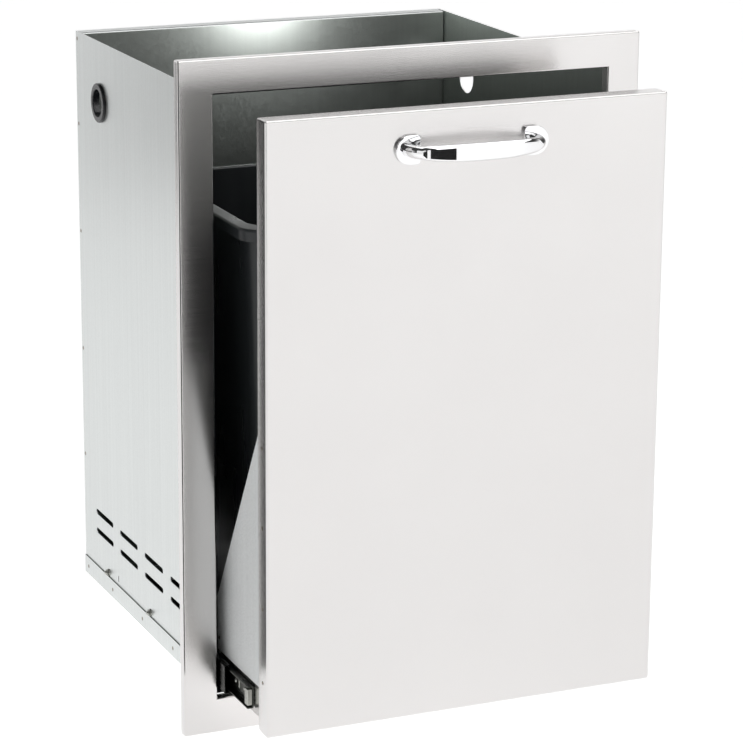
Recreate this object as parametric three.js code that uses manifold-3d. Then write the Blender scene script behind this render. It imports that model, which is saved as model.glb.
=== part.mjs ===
// Built-in pull-out waste bin drawer for an outdoor kitchen, standing 133 mm open.
// Millimetres, +Z up, +Y into the island, X to the right as seen from the front.
// The origin is on the face frame's rear seating lip, at the middle of the bottom rail.
import * as THREE from "three";
import { mergeVertices } from "three/addons/utils/BufferGeometryUtils.js";
import Module from "manifold-3d";

const wasm = await Module();
wasm.setup();

// ---------------------------------------------------------------- driving dimensions

const GAP = 0.3; // between pieces that touch
const HOLE_PLAY = 0.5; // between a bolt and the edge of its hole
const OVER = 1; // how far a cutting solid runs past the face it cuts

// facets
const ARC_STEPS = 8;
const CORNER_STEPS = 5;
const SHANK_SIDES = 12;
const HOLE_SIDES = 20;
const BORE_SIDES = 32;
const BOW_STEPS = 24;

// face frame, a folded ring of stainless sheet
const FRAME_WIDTH = 508;
const FRAME_HEIGHT = 705;
const FRAME_DEPTH = 12;
const FRAME_SHEET = 1.2;
const STILE = 36.5;
const TOP_RAIL = 35.5;
const BOTTOM_RAIL = 38;
const SEAT_LIP = 12;

// cabinet, galvanised sheet
const CABINET_DEPTH = 413; // from the seat to the rear edges of the side walls
const WALL_SHEET = 1;
const CABINET_BELOW_OPENING = 0.5; // wall tops below the opening's upper edge
const BACK_INSET = 18; // the back panel stands this far inside the rear edges
const BASE_FLANGE = 21.5;

// vent slots in both side walls
const VENT_HEIGHT = 6.2;
const VENT_BRIDGE = 24; // metal left between two slots of a row
const VENT_COUNT = 4;
const VENT_ROWS = 2;
const VENT_ROW_PITCH = 22.5;
const VENT_FRONT_MARGIN = 63; // from the seat to the first slot
const VENT_REAR_MARGIN = 42;
const VENT_ABOVE_SLIDE = 18.8; // centre of the lower row above the slide

// hose hole near the top rear corner of both walls, bushed on the left
const HOSE_BORE = 30;
const BUSH_WALL = 3;
const BUSH_FLANGE = 3.5; // breadth of the flange beyond the body
const BUSH_LIP = 2;
const BUSH_THICK = 3;
const BUSH_EDGE = 1; // bevel of the flange
const HOSE_FROM_REAR = 80;
const HOSE_FROM_TOP = 67;

// levelling slot between the slide bolts
const NOTCH_WIDTH = 2;
const NOTCH_HEIGHT = 7;
const NOTCH_FROM_BOLT = 35;

// drawer front, a stainless skin over a lining pan
const FRONT_DEPTH = 24;
const FRONT_SHEET = 1.2;
const LINER_SHEET = 1;
const LINER_RETURN = 14;
const FRONT_GAP_SIDE = 2.5;
const FRONT_GAP_TOP = 2.5;
const FRONT_GAP_BOTTOM = 5.5;

// tray, gussets and bin stop
const TRAY_SHEET = 1.2;
const TRAY_REAR_CLEARANCE = 11.7; // to the back panel when shut
const TRAY_LIFT = 2.5; // tray floor above the drawer front's lower edge
const TRAY_SIDE = 54;
const TRAY_END = 30;
const GUSSET_SHEET = 1.2;
const GUSSET_FOOT = 137; // length along the tray
const GUSSET_RISE = 293; // height at the drawer front
const GUSSET_HEEL = 59; // height of its upright rear edge
const GUSSET_FLANGE = 20;
const GUSSET_FLANGE_DROP = 4; // from the web's top to the flange's
const GUSSET_ABOVE_SLIDE = 5;
const STOP_HEIGHT = 25;
const STOP_FOOT = 18;
const STOP_END_CLEARANCE = 53.5; // to the tray's sides
const STOP_CLEARANCE = 3.5; // to the foot of the bin

// telescopic ball slides
const SLIDE_HEIGHT = 40;
const SLIDE_SHEET = 1.2;
const SLIDE_DEPTH = 13.7; // from the wall to the tray's side
const SLIDE_SETBACK = 26; // behind the drawer front when shut
const SLIDE_REAR_CLEARANCE = 7; // to the back panel
const OUTER_SHORT = 4.2; // edges of the outer member short of the tray's side
const OUTER_LIP = 3;
const OUTER_BALL_GAP = 3.2;
const MIDDLE_CLEARANCE = 1.7; // between the webs of the outer and middle members
const MIDDLE_SHORT = 3.2;
const MIDDLE_SHEET = 1;
const MIDDLE_LIP = 2.2;
const INNER_BALL_GAP = 2.6;
const CAGE_SHEET = 0.6;
const CAGE_LENGTH = 170;
const CAGE_START = 90;

// bolts through the wall into each slide, and screws through the tray
const BOLT_COUNT = 3;
const BOLT_FRONT = 9; // first bolt from the slide's front end
const BOLT_REAR = 57; // last bolt from its rear end
const BOLT_SHANK = 4;
const BOLT_HEAD = 7;
const BOLT_HEAD_THICK = 3.2;
const BOLT_ABOVE_FLANGE = 0.7; // heads above the base pan's flange
const TRAY_SCREW_FRONT = 35; // from the inner member's front end
const TRAY_SCREW_REAR = 105; // from its rear end
const TRAY_SCREW_HEAD = 7.2;
const TRAY_SCREW_HEAD_THICK = 1.6;

// handle
const HANDLE_CENTRES = 137;
const HANDLE_BELOW_TOP = 37.7;
const HANDLE_BAR = 13;
const HANDLE_BOW = 30; // how far the bar's centre line bows out
const ROSETTE_WIDTH = 26;
const ROSETTE_HEIGHT = 28.8;
const ROSETTE_THICK = 4;
const ROSETTE_CORNER = 4;
const SCREW_SHANK = 4;
const SCREW_HEAD = 8;
const SCREW_HEAD_THICK = 2.4;
const SCREW_GRIP = 10; // thread inside the bar's end

// waste bin, one moulding
const BIN_SIDE_CLEARANCE = 5.5; // rim to the outside of the tray
const BIN_REAR_CLEARANCE = 10; // rim to the back panel when shut
const BIN_BEHIND_FRONT = 66;
const BIN_HEADROOM = 128; // rim to the upper edge of the opening
const BIN_RIM = 14; // breadth of the flat rim
const BIN_SKIRT = 14;
const BIN_WALL = 2.5;
const BIN_TAPER = 20; // each side, from rim to base
const BIN_CORNER = 34;

// how far the drawer stands open
const DRAWER_OUT = 133;

// ---------------------------------------------------------------- derived places

const frontY = -FRAME_DEPTH;
const frameZ = [-SEAT_LIP / 2, FRAME_HEIGHT - SEAT_LIP / 2];
const halfFrame = FRAME_WIDTH / 2;
const halfOpening = halfFrame - STILE;
const openingZ = [frameZ[0] + BOTTOM_RAIL, frameZ[1] - TOP_RAIL];

// the walls lap the outside of the opening's folded returns
const wallInner = halfOpening + FRAME_SHEET + GAP;
const wallOuter = wallInner + WALL_SHEET;
const baseZ = openingZ[0] + GAP;
const floorTop = baseZ + WALL_SHEET;
const cabinetTop = openingZ[1] - CABINET_BELOW_OPENING;
const backY = CABINET_DEPTH - BACK_INSET;

const halfFront = halfOpening - FRONT_GAP_SIDE;
const frontZ = [openingZ[0] + FRONT_GAP_BOTTOM, openingZ[1] - FRONT_GAP_TOP];
const frontBack = frontY + FRONT_DEPTH;

const trayOuter = wallInner - SLIDE_DEPTH - GAP;
const trayInner = trayOuter - GAP - TRAY_SHEET;
const trayZ = frontZ[0] + TRAY_LIFT;
const trayTop = trayZ + TRAY_SIDE;
const trayY = [frontBack + GAP, backY - TRAY_REAR_CLEARANCE];

const slideY = [frontBack + SLIDE_SETBACK, backY - SLIDE_REAR_CLEARANCE];
const slideZ = baseZ + BASE_FLANGE + BOLT_ABOVE_FLANGE + BOLT_HEAD / 2;
const outerTip = SLIDE_DEPTH - OUTER_SHORT;
const middleWeb = GAP + SLIDE_SHEET + MIDDLE_CLEARANCE;
const middleTip = SLIDE_DEPTH - MIDDLE_SHORT;
const middleHeight = SLIDE_HEIGHT - 2 * (SLIDE_SHEET + OUTER_BALL_GAP);
const innerTip = middleWeb + MIDDLE_SHEET + INNER_BALL_GAP;
const innerHeight = middleHeight - 2 * (MIDDLE_SHEET + INNER_BALL_GAP);

const boltHole = BOLT_SHANK / 2 + HOLE_PLAY;
const firstBolt = slideY[0] + BOLT_FRONT;
const boltPitch = (slideY[1] - BOLT_REAR - firstBolt) / (BOLT_COUNT - 1);
const boltYs = Array.from({ length: BOLT_COUNT }, (_, i) => firstBolt + i * boltPitch);
const trayScrewYs = [slideY[0] + TRAY_SCREW_FRONT, slideY[1] - TRAY_SCREW_REAR];

const ventSpan = CABINET_DEPTH - VENT_FRONT_MARGIN - VENT_REAR_MARGIN;
const ventLength = (ventSpan - VENT_BRIDGE * (VENT_COUNT - 1)) / VENT_COUNT;
const ventZ = slideZ + SLIDE_HEIGHT / 2 + VENT_ABOVE_SLIDE;

const bushBody = HOSE_BORE / 2 + BUSH_WALL;
const hoseY = CABINET_DEPTH - HOSE_FROM_REAR;
const hoseZ = cabinetTop - HOSE_FROM_TOP;

const handleZ = frontZ[1] - HANDLE_BELOW_TOP;
const rosetteY = frontY - GAP - ROSETTE_THICK;
const barY = rosetteY - GAP;

const gussetZ = slideZ + innerHeight / 2 + GUSSET_ABOVE_SLIDE;

const binZ = [trayZ + TRAY_SHEET + GAP, openingZ[1] - BIN_HEADROOM];
const binY = [frontBack + BIN_BEHIND_FRONT, backY - BIN_REAR_CLEARANCE];
const binHalf = trayOuter - BIN_SIDE_CLEARANCE;
const binNeck = BIN_RIM - BIN_WALL; // from the rim's edge to the outside of the body

// ---------------------------------------------------------------- materials

const finish = (color, roughness, metalness) =>
  new THREE.MeshStandardMaterial({ color, roughness, metalness });

const STAINLESS = () => finish(0xcfcbc8, 0.34, 1);
const GALVANISED = () => finish(0xc9cccd, 0.5, 1);
const SLIDE_STEEL = () => finish(0x9a9b98, 0.4, 1);
const CHROME = () => finish(0xf2f2f2, 0.06, 1);
const BLACK_PLASTIC = () => finish(0x15171a, 0.3, 0);
const BLACK_RUBBER = () => finish(0x1d1f20, 0.55, 0);

// ---------------------------------------------------------------- solids

// A closed geometry as a manifold solid.
function solid(geometry) {
  const bare = geometry.clone();
  bare.deleteAttribute("normal");
  bare.deleteAttribute("uv");
  const merged = mergeVertices(bare, 1e-4);
  return new wasm.Manifold(
    new wasm.Mesh({
      numProp: 3,
      vertProperties: merged.attributes.position.array,
      triVerts: new Uint32Array(merged.index.array),
    }),
  );
}

// A manifold solid back as a geometry.
function geometryOf(body) {
  const mesh = body.getMesh();
  const geometry = new THREE.BufferGeometry();
  geometry.setAttribute("position", new THREE.BufferAttribute(mesh.vertProperties, 3));
  geometry.setIndex(new THREE.BufferAttribute(mesh.triVerts, 1));
  geometry.computeVertexNormals();
  return geometry;
}

const join = (...parts) => geometryOf(parts.map(solid).reduce((a, b) => a.add(b)));
const cut = (from, ...tools) =>
  geometryOf(tools.map(solid).reduce((a, b) => a.subtract(b), solid(from)));

// A block between two values on each axis.
function slab([x0, x1], [y0, y1], [z0, z1]) {
  return new THREE.BoxGeometry(x1 - x0, y1 - y0, z1 - z0).translate(
    (x0 + x1) / 2,
    (y0 + y1) / 2,
    (z0 + z1) / 2,
  );
}

// The range between two distances from the centre plane, on the side of the sign.
const reach = (side, a, b) => [side * a, side * b].sort((p, q) => p - q);
const both = (half) => [-half, half];
const past = ([a, b]) => [a - OVER, b + OVER];
const outline = (points) => new THREE.Shape(points.map(([u, v]) => new THREE.Vector2(u, v)));

// A shape drawn in (Y, Z), extruded along X between two values.
function plateYZ(shape, [x0, x1]) {
  const basis = new THREE.Matrix4().makeBasis(
    new THREE.Vector3(0, 1, 0),
    new THREE.Vector3(0, 0, 1),
    new THREE.Vector3(1, 0, 0),
  );
  return new THREE.ExtrudeGeometry(shape, {
    depth: x1 - x0,
    bevelEnabled: false,
    curveSegments: ARC_STEPS,
  })
    .applyMatrix4(basis)
    .translate(x0, 0, 0);
}

// A shape drawn in (X, Z), extruded along Y between two values.
function barXZ(shape, [y0, y1]) {
  const basis = new THREE.Matrix4().makeBasis(
    new THREE.Vector3(1, 0, 0),
    new THREE.Vector3(0, 0, 1),
    new THREE.Vector3(0, -1, 0),
  );
  return new THREE.ExtrudeGeometry(shape, {
    depth: y1 - y0,
    bevelEnabled: false,
    curveSegments: ARC_STEPS,
  })
    .applyMatrix4(basis)
    .translate(0, y1, 0);
}

// A round bar along X or along Y, centred on a point.
const rodX = (radius, [x0, x1], y, z, sides = HOLE_SIDES) =>
  new THREE.CylinderGeometry(radius, radius, x1 - x0, sides)
    .rotateZ(Math.PI / 2)
    .translate((x0 + x1) / 2, y, z);
const rodY = (radius, [y0, y1], x, z, sides = HOLE_SIDES) =>
  new THREE.CylinderGeometry(radius, radius, y1 - y0, sides).translate(x, (y0 + y1) / 2, z);

// A slot with round ends, lying along Y, drawn in (Y, Z).
function slotShape(y0, y1, z, height) {
  const r = height / 2;
  const shape = new THREE.Shape();
  shape.absarc(y1 - r, z, r, -Math.PI / 2, Math.PI / 2, false);
  shape.absarc(y0 + r, z, r, Math.PI / 2, (3 * Math.PI) / 2, false);
  return shape;
}

// A rounded rectangle's points at a height, for walls that taper.
function roundedRing([x0, x1], [y0, y1], radius, z) {
  const shape = new THREE.Shape();
  shape.absarc(x1 - radius, y0 + radius, radius, -Math.PI / 2, 0, false);
  shape.absarc(x1 - radius, y1 - radius, radius, 0, Math.PI / 2, false);
  shape.absarc(x0 + radius, y1 - radius, radius, Math.PI / 2, Math.PI, false);
  shape.absarc(x0 + radius, y0 + radius, radius, Math.PI, (3 * Math.PI) / 2, false);
  return shape.extractPoints(CORNER_STEPS).shape.map((p) => new THREE.Vector3(p.x, p.y, z));
}

// A closed solid through rings of equal point counts, lowest first.
function loft(rings) {
  const count = rings[0].length;
  const positions = rings.flat().flatMap((p) => [p.x, p.y, p.z]);
  const faces = [];
  for (let ring = 0; ring + 1 < rings.length; ring++) {
    for (let i = 0; i < count; i++) {
      const a = ring * count + i;
      const b = ring * count + ((i + 1) % count);
      faces.push(a, b, b + count, a, b + count, a + count);
    }
  }
  const top = (rings.length - 1) * count;
  for (let i = 1; i + 1 < count; i++) {
    faces.push(0, i + 1, i);
    faces.push(top, top + i, top + i + 1);
  }
  const geometry = new THREE.BufferGeometry();
  geometry.setAttribute("position", new THREE.Float32BufferAttribute(positions, 3));
  geometry.setIndex(faces);
  return geometry;
}

function add(parent, name, geometry, material) {
  const mesh = new THREE.Mesh(geometry, material);
  mesh.name = name;
  parent.add(mesh);
  return mesh;
}

const SIDES = [
  ["left", -1],
  ["right", 1],
];

// ---------------------------------------------------------------- cabinet

// Front plate with folded outer and opening returns, and a rear lip that seats on the island.
function faceFrame() {
  const y = [frontY, 0];
  const returns = slab(both(halfOpening + FRAME_SHEET), past(y), [
    openingZ[0] - FRAME_SHEET,
    openingZ[1] + FRAME_SHEET,
  ]);
  const hollow = slab(
    both(halfFrame - FRAME_SHEET),
    [frontY + FRAME_SHEET, -FRAME_SHEET],
    [frameZ[0] + FRAME_SHEET, frameZ[1] - FRAME_SHEET],
  );
  const rearMouth = slab(
    both(halfFrame - SEAT_LIP),
    [-FRAME_SHEET - OVER, OVER],
    [frameZ[0] + SEAT_LIP, frameZ[1] - SEAT_LIP],
  );
  return cut(
    slab(both(halfFrame), y, frameZ),
    slab(both(halfOpening), past(y), openingZ),
    cut(hollow, returns),
    cut(rearMouth, returns),
  );
}

function sideWall(side) {
  const thick = reach(side, wallInner, wallOuter);
  const through = past(thick);
  const tools = [rodX(bushBody + GAP, through, hoseY, hoseZ, BORE_SIDES)];
  for (let row = 0; row < VENT_ROWS; row++) {
    for (let i = 0; i < VENT_COUNT; i++) {
      const start = VENT_FRONT_MARGIN + i * (ventLength + VENT_BRIDGE);
      const slot = slotShape(start, start + ventLength, ventZ + row * VENT_ROW_PITCH, VENT_HEIGHT);
      tools.push(plateYZ(slot, through));
    }
  }
  for (const y of boltYs) tools.push(rodX(boltHole, through, y, slideZ));
  const notchY = boltYs.at(-1) - NOTCH_FROM_BOLT;
  const notch = [notchY - NOTCH_WIDTH / 2, notchY + NOTCH_WIDTH / 2];
  tools.push(slab(through, notch, [slideZ, slideZ + NOTCH_HEIGHT]));
  const y = [frontY + FRAME_SHEET + GAP, CABINET_DEPTH];
  return cut(slab(thick, y, [floorTop + GAP, cabinetTop]), ...tools);
}

// A pan whose edges fold back towards the rear, seen from the front as a flat panel.
function backPanel() {
  const half = wallInner - GAP;
  const z = [floorTop + GAP, cabinetTop];
  return cut(
    slab(both(half), [backY, CABINET_DEPTH], z),
    slab(
      both(half - WALL_SHEET),
      [backY + WALL_SHEET, CABINET_DEPTH + OVER],
      [z[0] + WALL_SHEET, z[1] - WALL_SHEET],
    ),
  );
}

// Floor sheet with flanges turned up outside the walls.
function basePan() {
  const half = wallOuter + GAP + WALL_SHEET;
  const y = [GAP, CABINET_DEPTH];
  const top = baseZ + BASE_FLANGE;
  return cut(
    slab(both(half), y, [baseZ, top]),
    slab(both(half - WALL_SHEET), past(y), [floorTop, top + OVER]),
  );
}

// Snap bush: an outer flange, a body through the wall and a lip inside it.
function hoseBush() {
  const bore = HOSE_BORE / 2;
  const flange = bushBody + BUSH_FLANGE;
  const lip = bushBody + BUSH_LIP;
  const seat = WALL_SHEET / 2 + GAP; // measured each way from the wall's middle
  const outer = seat + BUSH_THICK;
  const profile = [
    [bore, -outer],
    [bushBody, -outer],
    [lip, -seat - BUSH_THICK / 2],
    [lip, -seat],
    [bushBody, -seat],
    [bushBody, seat],
    [flange, seat],
    [flange, outer - BUSH_EDGE],
    [flange - BUSH_EDGE, outer],
    [bore + BUSH_EDGE, outer],
    [bore, outer - BUSH_EDGE],
    [bore, -outer],
  ].map(([r, y]) => new THREE.Vector2(r, y));
  return new THREE.LatheGeometry(profile, BORE_SIDES);
}

// Hexagon head outside the wall, shank flush with the slide's web.
function slideBolt(side) {
  const head = reach(side, wallOuter + GAP, wallOuter + GAP + BOLT_HEAD_THICK);
  const shank = reach(side, wallInner - GAP - SLIDE_SHEET, wallOuter + GAP + OVER);
  return join(rodX(BOLT_HEAD / 2, head, 0, 0, 6), rodX(BOLT_SHANK / 2, shank, 0, 0, SHANK_SIDES));
}

// ---------------------------------------------------------------- slides

// A folded channel drawn in (X, Z): web at one distance from the wall, flanges reaching to
// another, and where a lip is given, edges folded back over the balls.
function channel(side, web, tip, height, sheet, lip = 0) {
  const inward = Math.sign(tip - web) * sheet;
  const h = height / 2;
  const folded = [
    [tip, h - lip],
    [tip - inward, h - lip],
    [tip - inward, h - sheet],
  ];
  const edge = lip ? folded : [[tip, h - sheet]];
  const upper = [[web, h], [tip, h], ...edge, [web + inward, h - sheet]];
  const lower = upper.map(([u, z]) => [u, -z]).reverse();
  return outline([...upper, ...lower].map(([u, z]) => [side * (wallInner - u), slideZ + z]));
}

function slideOuter(side) {
  const section = channel(side, GAP, outerTip, SLIDE_HEIGHT, SLIDE_SHEET, OUTER_LIP);
  const web = reach(side, wallInner - GAP - SLIDE_SHEET - OVER, wallInner);
  return cut(barXZ(section, slideY), ...boltYs.map((y) => rodX(boltHole, web, y, slideZ)));
}

function slideMiddle(side) {
  return barXZ(channel(side, middleWeb, middleTip, middleHeight, MIDDLE_SHEET, MIDDLE_LIP), slideY);
}

function slideInner(side) {
  const section = channel(side, SLIDE_DEPTH, innerTip, innerHeight, SLIDE_SHEET);
  const web = reach(side, trayOuter, wallInner - SLIDE_DEPTH + SLIDE_SHEET + OVER);
  return cut(barXZ(section, slideY), ...trayScrewYs.map((y) => rodX(boltHole, web, y, slideZ)));
}

// The thin cage that keeps the balls apart, halfway between two members.
function cage(side, webs, heights, tip) {
  const web = (webs[0] + webs[1] - CAGE_SHEET) / 2;
  const height = (heights[0] + heights[1]) / 2 + CAGE_SHEET;
  const start = slideY[0] + CAGE_START;
  return barXZ(channel(side, web, tip, height, CAGE_SHEET), [start, start + CAGE_LENGTH]);
}

function cageOuter(side) {
  const webs = [GAP + SLIDE_SHEET, middleWeb];
  const heights = [SLIDE_HEIGHT - 2 * SLIDE_SHEET, middleHeight];
  return cage(side, webs, heights, outerTip - SLIDE_SHEET - GAP);
}

function cageInner(side) {
  const webs = [middleWeb + MIDDLE_SHEET, innerTip];
  const heights = [middleHeight - 2 * MIDDLE_SHEET, innerHeight];
  return cage(side, webs, heights, middleTip - MIDDLE_SHEET - GAP);
}

// ---------------------------------------------------------------- drawer, drawn shut

const screwHole = SCREW_SHANK / 2 + HOLE_PLAY;
const handleXs = SIDES.map(([, side]) => (side * HANDLE_CENTRES) / 2);

function frontSkin() {
  return cut(
    slab(both(halfFront), [frontY, frontBack], frontZ),
    slab(
      both(halfFront - FRONT_SHEET),
      [frontY + FRONT_SHEET, frontBack + OVER],
      [frontZ[0] + FRONT_SHEET, frontZ[1] - FRONT_SHEET],
    ),
    ...handleXs.map((x) => rodY(screwHole, past([frontY, frontY + FRONT_SHEET]), x, handleZ)),
  );
}

function frontLiner() {
  const inset = FRONT_SHEET + GAP;
  const z = [frontZ[0] + inset, frontZ[1] - inset];
  const half = halfFront - inset;
  return cut(
    slab(both(half), [frontBack - LINER_RETURN, frontBack], z),
    slab(
      both(half - LINER_SHEET),
      [frontBack - LINER_RETURN - OVER, frontBack - LINER_SHEET],
      [z[0] + LINER_SHEET, z[1] - LINER_SHEET],
    ),
    ...handleXs.map((x) => rodY(screwHole, past([frontBack - LINER_SHEET, frontBack]), x, handleZ)),
  );
}

// Floor with its four edges turned up: high sides for the slides, low ends for the bin.
function tray() {
  const ends = [trayY[0] + TRAY_SHEET, trayY[1] - TRAY_SHEET];
  const holes = SIDES.flatMap(([, side]) => {
    const web = reach(side, trayInner - OVER, trayOuter - GAP + OVER);
    return trayScrewYs.map((y) => rodX(boltHole, web, y, slideZ));
  });
  return cut(
    slab(both(trayOuter - GAP), trayY, [trayZ, trayTop]),
    slab(both(trayInner), ends, [trayZ + TRAY_SHEET, trayTop + OVER]),
    slab(both(trayInner), past(trayY), [trayZ + TRAY_END, trayTop + OVER]),
    ...holes,
  );
}

// A sloping web outside the tray with a flange folded in against the liner.
function gusset(side) {
  const y = trayY[0];
  const top = gussetZ + GUSSET_RISE;
  const sheet = reach(side, trayOuter, trayOuter + GUSSET_SHEET);
  const corners = [
    [y, gussetZ],
    [y + GUSSET_FOOT, gussetZ],
    [y + GUSSET_FOOT, gussetZ + GUSSET_HEEL],
    [y, top],
  ];
  const flange = slab(
    reach(side, trayOuter - GUSSET_FLANGE, trayOuter + GUSSET_SHEET),
    [y, y + GUSSET_SHEET],
    [trayTop + GAP, top - GUSSET_FLANGE_DROP],
  );
  return join(plateYZ(outline(corners), sheet), flange);
}

// An angle across the tray that keeps the bin from sliding forward.
function binStop() {
  const floor = trayZ + TRAY_SHEET + GAP;
  const y = binY[0] + binNeck + BIN_TAPER - STOP_CLEARANCE;
  const across = both(trayInner - STOP_END_CLEARANCE);
  return join(
    slab(across, [y - STOP_FOOT, y], [floor, floor + TRAY_SHEET]),
    slab(across, [y - TRAY_SHEET, y], [floor, floor + STOP_HEIGHT]),
  );
}

// Screw from inside the tray into the slide's inner member.
function trayScrew(side) {
  const face = trayInner - GAP;
  const head = reach(side, face - TRAY_SCREW_HEAD_THICK, face);
  const shank = reach(side, face - OVER, wallInner - SLIDE_DEPTH + SLIDE_SHEET);
  return join(
    rodX(TRAY_SCREW_HEAD / 2, head, 0, 0, SHANK_SIDES),
    rodX(BOLT_SHANK / 2, shank, 0, 0, SHANK_SIDES),
  );
}

// The bar leaves both rosettes square to the front and bows in one curve between them.
function handleBar() {
  const half = HANDLE_CENTRES / 2;
  const pull = (HANDLE_BOW * 4) / 3;
  const path = new THREE.CubicBezierCurve3(
    new THREE.Vector3(-half, barY, handleZ),
    new THREE.Vector3(-half, barY - pull, handleZ),
    new THREE.Vector3(half, barY - pull, handleZ),
    new THREE.Vector3(half, barY, handleZ),
  );
  const section = new THREE.Shape().absarc(0, 0, HANDLE_BAR / 2, 0, Math.PI * 2, false);
  const bar = new THREE.ExtrudeGeometry(section, {
    steps: BOW_STEPS,
    curveSegments: ARC_STEPS,
    extrudePath: path,
  });
  const bore = SCREW_SHANK / 2 + GAP;
  const deep = past([barY - SCREW_GRIP, barY]);
  return cut(bar, ...handleXs.map((x) => rodY(bore, deep, x, handleZ, SHANK_SIDES)));
}

// A D-shaped foot plate: round to the outside, square to the inside.
function rosette(side) {
  const half = ROSETTE_WIDTH / 2;
  const tall = ROSETTE_HEIGHT / 2;
  const r = ROSETTE_CORNER;
  const shape = new THREE.Shape();
  shape.absarc(half - tall, 0, tall, -Math.PI / 2, Math.PI / 2, false);
  shape.absarc(r - half, tall - r, r, Math.PI / 2, Math.PI, false);
  shape.absarc(r - half, r - tall, r, Math.PI, (3 * Math.PI) / 2, false);
  const points = shape.extractPoints(ARC_STEPS).shape.map((p) => [side * p.x, p.y]);
  const thick = [0, ROSETTE_THICK];
  return cut(barXZ(outline(points), thick), rodY(screwHole, past(thick), 0, 0));
}

function handleScrew() {
  const back = frontBack + GAP;
  return join(
    rodY(SCREW_HEAD / 2, [back, back + SCREW_HEAD_THICK], 0, 0, SHANK_SIDES),
    rodY(SCREW_SHANK / 2, [barY - SCREW_GRIP, back + OVER], 0, 0, SHANK_SIDES),
  );
}

// Tapered tub under a flat rim with a skirt turned down all round.
function bin() {
  const ring = (inset, radius, z) =>
    roundedRing(both(binHalf - inset), [binY[0] + inset, binY[1] - inset], radius, z);
  const [foot, top] = binZ;
  const skirt = top - BIN_SKIRT;
  const inner = BIN_CORNER - BIN_RIM;
  const shell = loft([
    ring(binNeck + BIN_TAPER, inner, foot),
    ring(binNeck, inner, top - BIN_WALL / 2),
  ]);
  const rim = cut(
    loft([ring(0, BIN_CORNER, skirt), ring(0, BIN_CORNER, top)]),
    loft([
      ring(BIN_WALL, BIN_CORNER - BIN_WALL, skirt - OVER),
      ring(BIN_WALL, BIN_CORNER - BIN_WALL, top - BIN_WALL),
    ]),
  );
  const inside = loft([
    ring(binNeck + BIN_TAPER + BIN_WALL, inner, foot + BIN_WALL),
    ring(BIN_RIM, inner, top + OVER),
  ]);
  return cut(join(shell, rim), inside);
}

// ---------------------------------------------------------------- assembly

const root = new THREE.Group();

const cabinet = new THREE.Group();
root.add(cabinet);
add(cabinet, "face_frame", faceFrame(), STAINLESS());
add(cabinet, "back_panel", backPanel(), GALVANISED());
add(cabinet, "base_pan", basePan(), GALVANISED());
for (const [word, side] of SIDES) {
  add(cabinet, word + "_wall", sideWall(side), GALVANISED());
  add(cabinet, "slide_outer_" + word, slideOuter(side), SLIDE_STEEL());
  boltYs.forEach((y, i) => {
    const name = "slide_bolt_" + word + "_" + ["front", "middle", "rear"][i];
    add(cabinet, name, slideBolt(side), SLIDE_STEEL()).position.set(0, y, slideZ);
  });
}
const bush = add(cabinet, "hose_bush", hoseBush(), BLACK_RUBBER());
bush.rotation.z = Math.PI / 2;
bush.position.set(-(wallInner + wallOuter) / 2, hoseY, hoseZ);

// each moving group is drawn with the drawer shut and stands out by its share of the opening
function movingGroup(share) {
  const group = new THREE.Group();
  group.position.y = -DRAWER_OUT * share;
  root.add(group);
  return group;
}

const outerCages = movingGroup(0.25);
const middles = movingGroup(0.5);
const innerCages = movingGroup(0.75);
for (const [word, side] of SIDES) {
  add(outerCages, "ball_cage_outer_" + word, cageOuter(side), SLIDE_STEEL());
  add(middles, "slide_middle_" + word, slideMiddle(side), SLIDE_STEEL());
  add(innerCages, "ball_cage_inner_" + word, cageInner(side), SLIDE_STEEL());
}

const drawer = movingGroup(1);
add(drawer, "drawer_front_skin", frontSkin(), STAINLESS());
add(drawer, "drawer_front_liner", frontLiner(), STAINLESS());
add(drawer, "drawer_tray", tray(), STAINLESS());
add(drawer, "bin_stop", binStop(), GALVANISED());
add(drawer, "handle_bar", handleBar(), CHROME());
for (const [word, side] of SIDES) {
  const x = (side * HANDLE_CENTRES) / 2;
  add(drawer, "gusset_" + word, gusset(side), GALVANISED());
  add(drawer, "slide_inner_" + word, slideInner(side), SLIDE_STEEL());
  add(drawer, "handle_rosette_" + word, rosette(side), CHROME()).position.set(x, rosetteY, handleZ);
  add(drawer, "handle_screw_" + word, handleScrew(), SLIDE_STEEL()).position.set(x, 0, handleZ);
  trayScrewYs.forEach((y, i) => {
    const name = "tray_screw_" + word + "_" + ["front", "rear"][i];
    add(drawer, name, trayScrew(side), SLIDE_STEEL()).position.set(0, y, slideZ);
  });
}
add(drawer, "waste_bin", bin(), BLACK_PLASTIC());

export default root;
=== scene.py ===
"""Built-in pull-out waste drawer: folded sheet, slides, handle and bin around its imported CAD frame."""

import math

import bmesh
import bpy
from bpy.props import FloatProperty, FloatVectorProperty, IntProperty, PointerProperty
from mathutils import Matrix, Vector


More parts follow.
